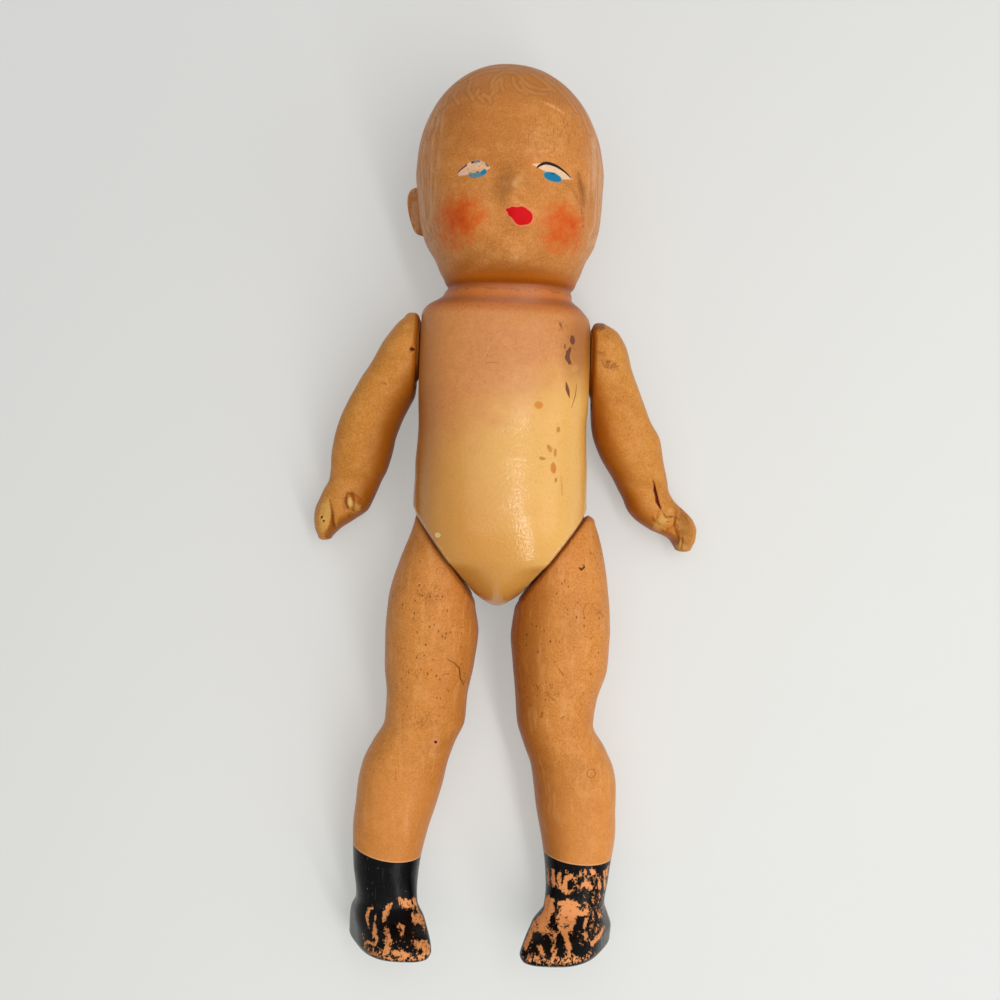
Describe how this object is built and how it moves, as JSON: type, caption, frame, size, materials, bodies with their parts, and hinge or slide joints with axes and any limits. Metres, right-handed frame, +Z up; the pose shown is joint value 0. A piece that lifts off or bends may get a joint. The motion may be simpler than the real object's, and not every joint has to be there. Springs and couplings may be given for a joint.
{
  "type": "composition baby doll",
  "caption": "Vintage moulded composition baby doll, elastic-strung: head and body in one, swinging arms and legs, painted face and shoes, lying on its back.",
  "frame": {"origin": "on the floor under the middle of the doll's box, the doll lying on its back", "axes": "+Y towards the crown of the head, +Z up out of the chest and face, +X to the doll's own left"},
  "size_m": [0.1146, 0.257, 0.0595],
  "materials": {
    "trunk_composition": "varnished flesh paint on moulded sawdust composition, crazed and soiled",
    "arm_composition": "flesh paint on moulded composition, worn at the hands",
    "leg_composition": "flesh paint on moulded composition, gloss black painted shoes, peeling",
    "plug_wood": "bare turned wood",
    "wire_steel": "dull drawn wire",
    "clamp_metal": "dull crimped sleeve",
    "elastic_cord": "cotton-covered elastic"
  },
  "bodies": {
    "trunk": {"head_torso_front": "trunk_composition", "head_torso_back": "trunk_composition", "arm_elastic": "elastic_cord", "leg_elastic": "elastic_cord", "arm_elastic_clamp": "clamp_metal", "leg_elastic_clamp": "clamp_metal"},
    "left_arm": {"left_arm_outer": "arm_composition", "left_arm_inner": "arm_composition", "left_arm_plug": "plug_wood", "left_arm_wire_eye": "wire_steel"},
    "right_arm": {"right_arm_outer": "arm_composition", "right_arm_inner": "arm_composition", "right_arm_plug": "plug_wood", "right_arm_wire_eye": "wire_steel"},
    "left_leg": {"left_leg_outer": "leg_composition", "left_leg_inner": "leg_composition", "left_leg_plug": "plug_wood", "left_leg_wire_eye": "wire_steel"},
    "right_leg": {"right_leg_outer": "leg_composition", "right_leg_inner": "leg_composition", "right_leg_plug": "plug_wood", "right_leg_wire_eye": "wire_steel"}
  },
  "joints": [
    {"name": "left_shoulder", "type": "hinge", "parent": "trunk", "child": "left_arm", "pos_m": [0.0226, 0.0465, 0.022], "axis": [1, 0, 0], "continuous": true, "deforming": ["arm_elastic"]},
    {"name": "right_shoulder", "type": "hinge", "parent": "trunk", "child": "right_arm", "pos_m": [-0.0262, 0.0465, 0.022], "axis": [1, 0, 0], "continuous": true, "deforming": ["arm_elastic"]},
    {"name": "left_hip", "type": "hinge", "parent": "trunk", "child": "left_leg", "pos_m": [0.0133, -0.0125, 0.022], "axis": [-0.8028, 0.5962, 0], "range_deg": [-45, 110], "deforming": ["leg_elastic"]},
    {"name": "right_hip", "type": "hinge", "parent": "trunk", "child": "right_leg", "pos_m": [-0.0169, -0.0125, 0.022], "axis": [-0.8028, -0.5962, 0], "range_deg": [-45, 110], "deforming": ["leg_elastic"]}
  ]
}
